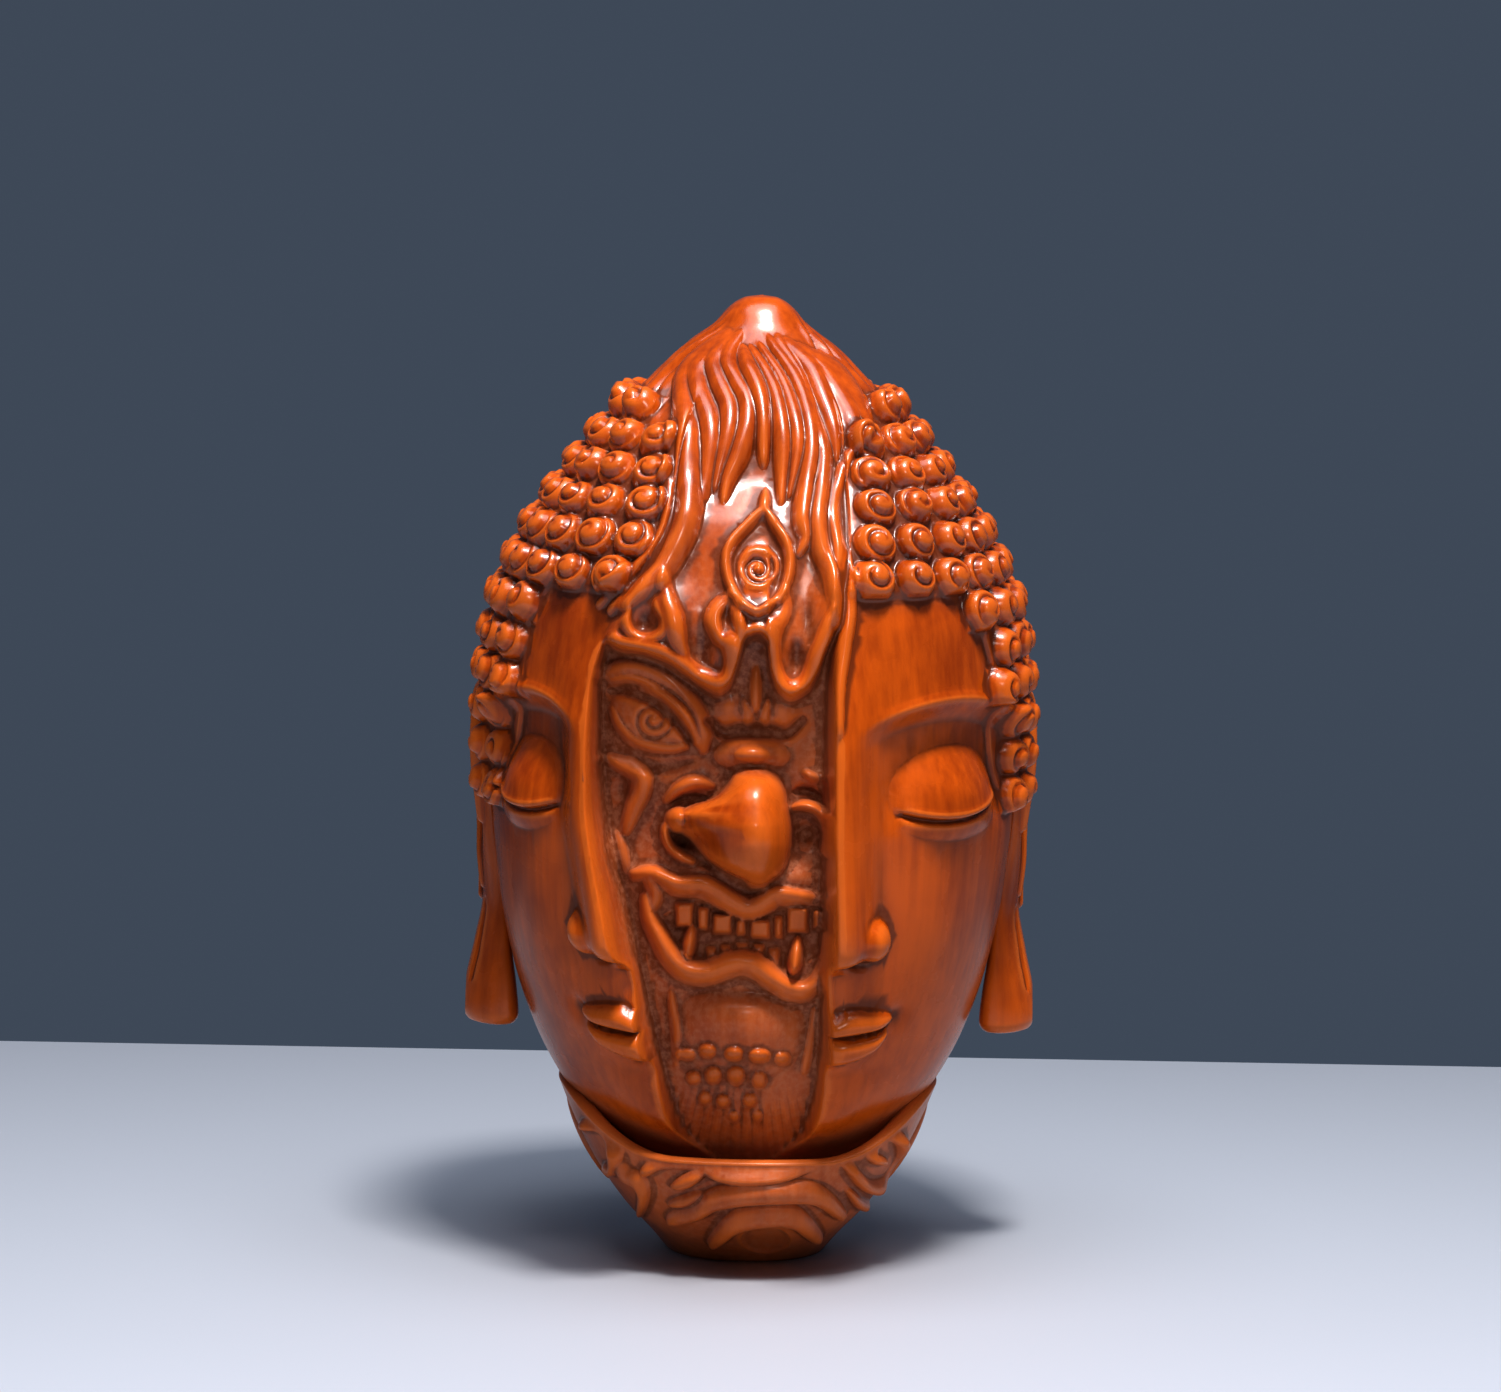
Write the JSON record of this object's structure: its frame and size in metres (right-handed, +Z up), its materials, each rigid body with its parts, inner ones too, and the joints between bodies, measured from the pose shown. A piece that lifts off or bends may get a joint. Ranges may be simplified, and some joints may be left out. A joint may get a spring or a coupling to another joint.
{
  "type": "carved boxwood head statue",
  "caption": "Small carved boxwood head: a calm face parting on a fierce guardian's face, snail curls and peaked topknot above, cloud bowl below.",
  "frame": {"origin": "middle of the flat foot under the cloud bowl", "axes": "+Z up to the peak of the topknot, -Y out of the face, +X to the right of someone who looks at the face"},
  "size_m": [0.0452, 0.042, 0.075],
  "materials": {
    "boxwood": "oiled and hand-polished boxwood, red-brown in the cuts and orange on the heights"
  },
  "bodies": {
    "root": {"carved_head": "boxwood"}
  },
  "joints": []
}
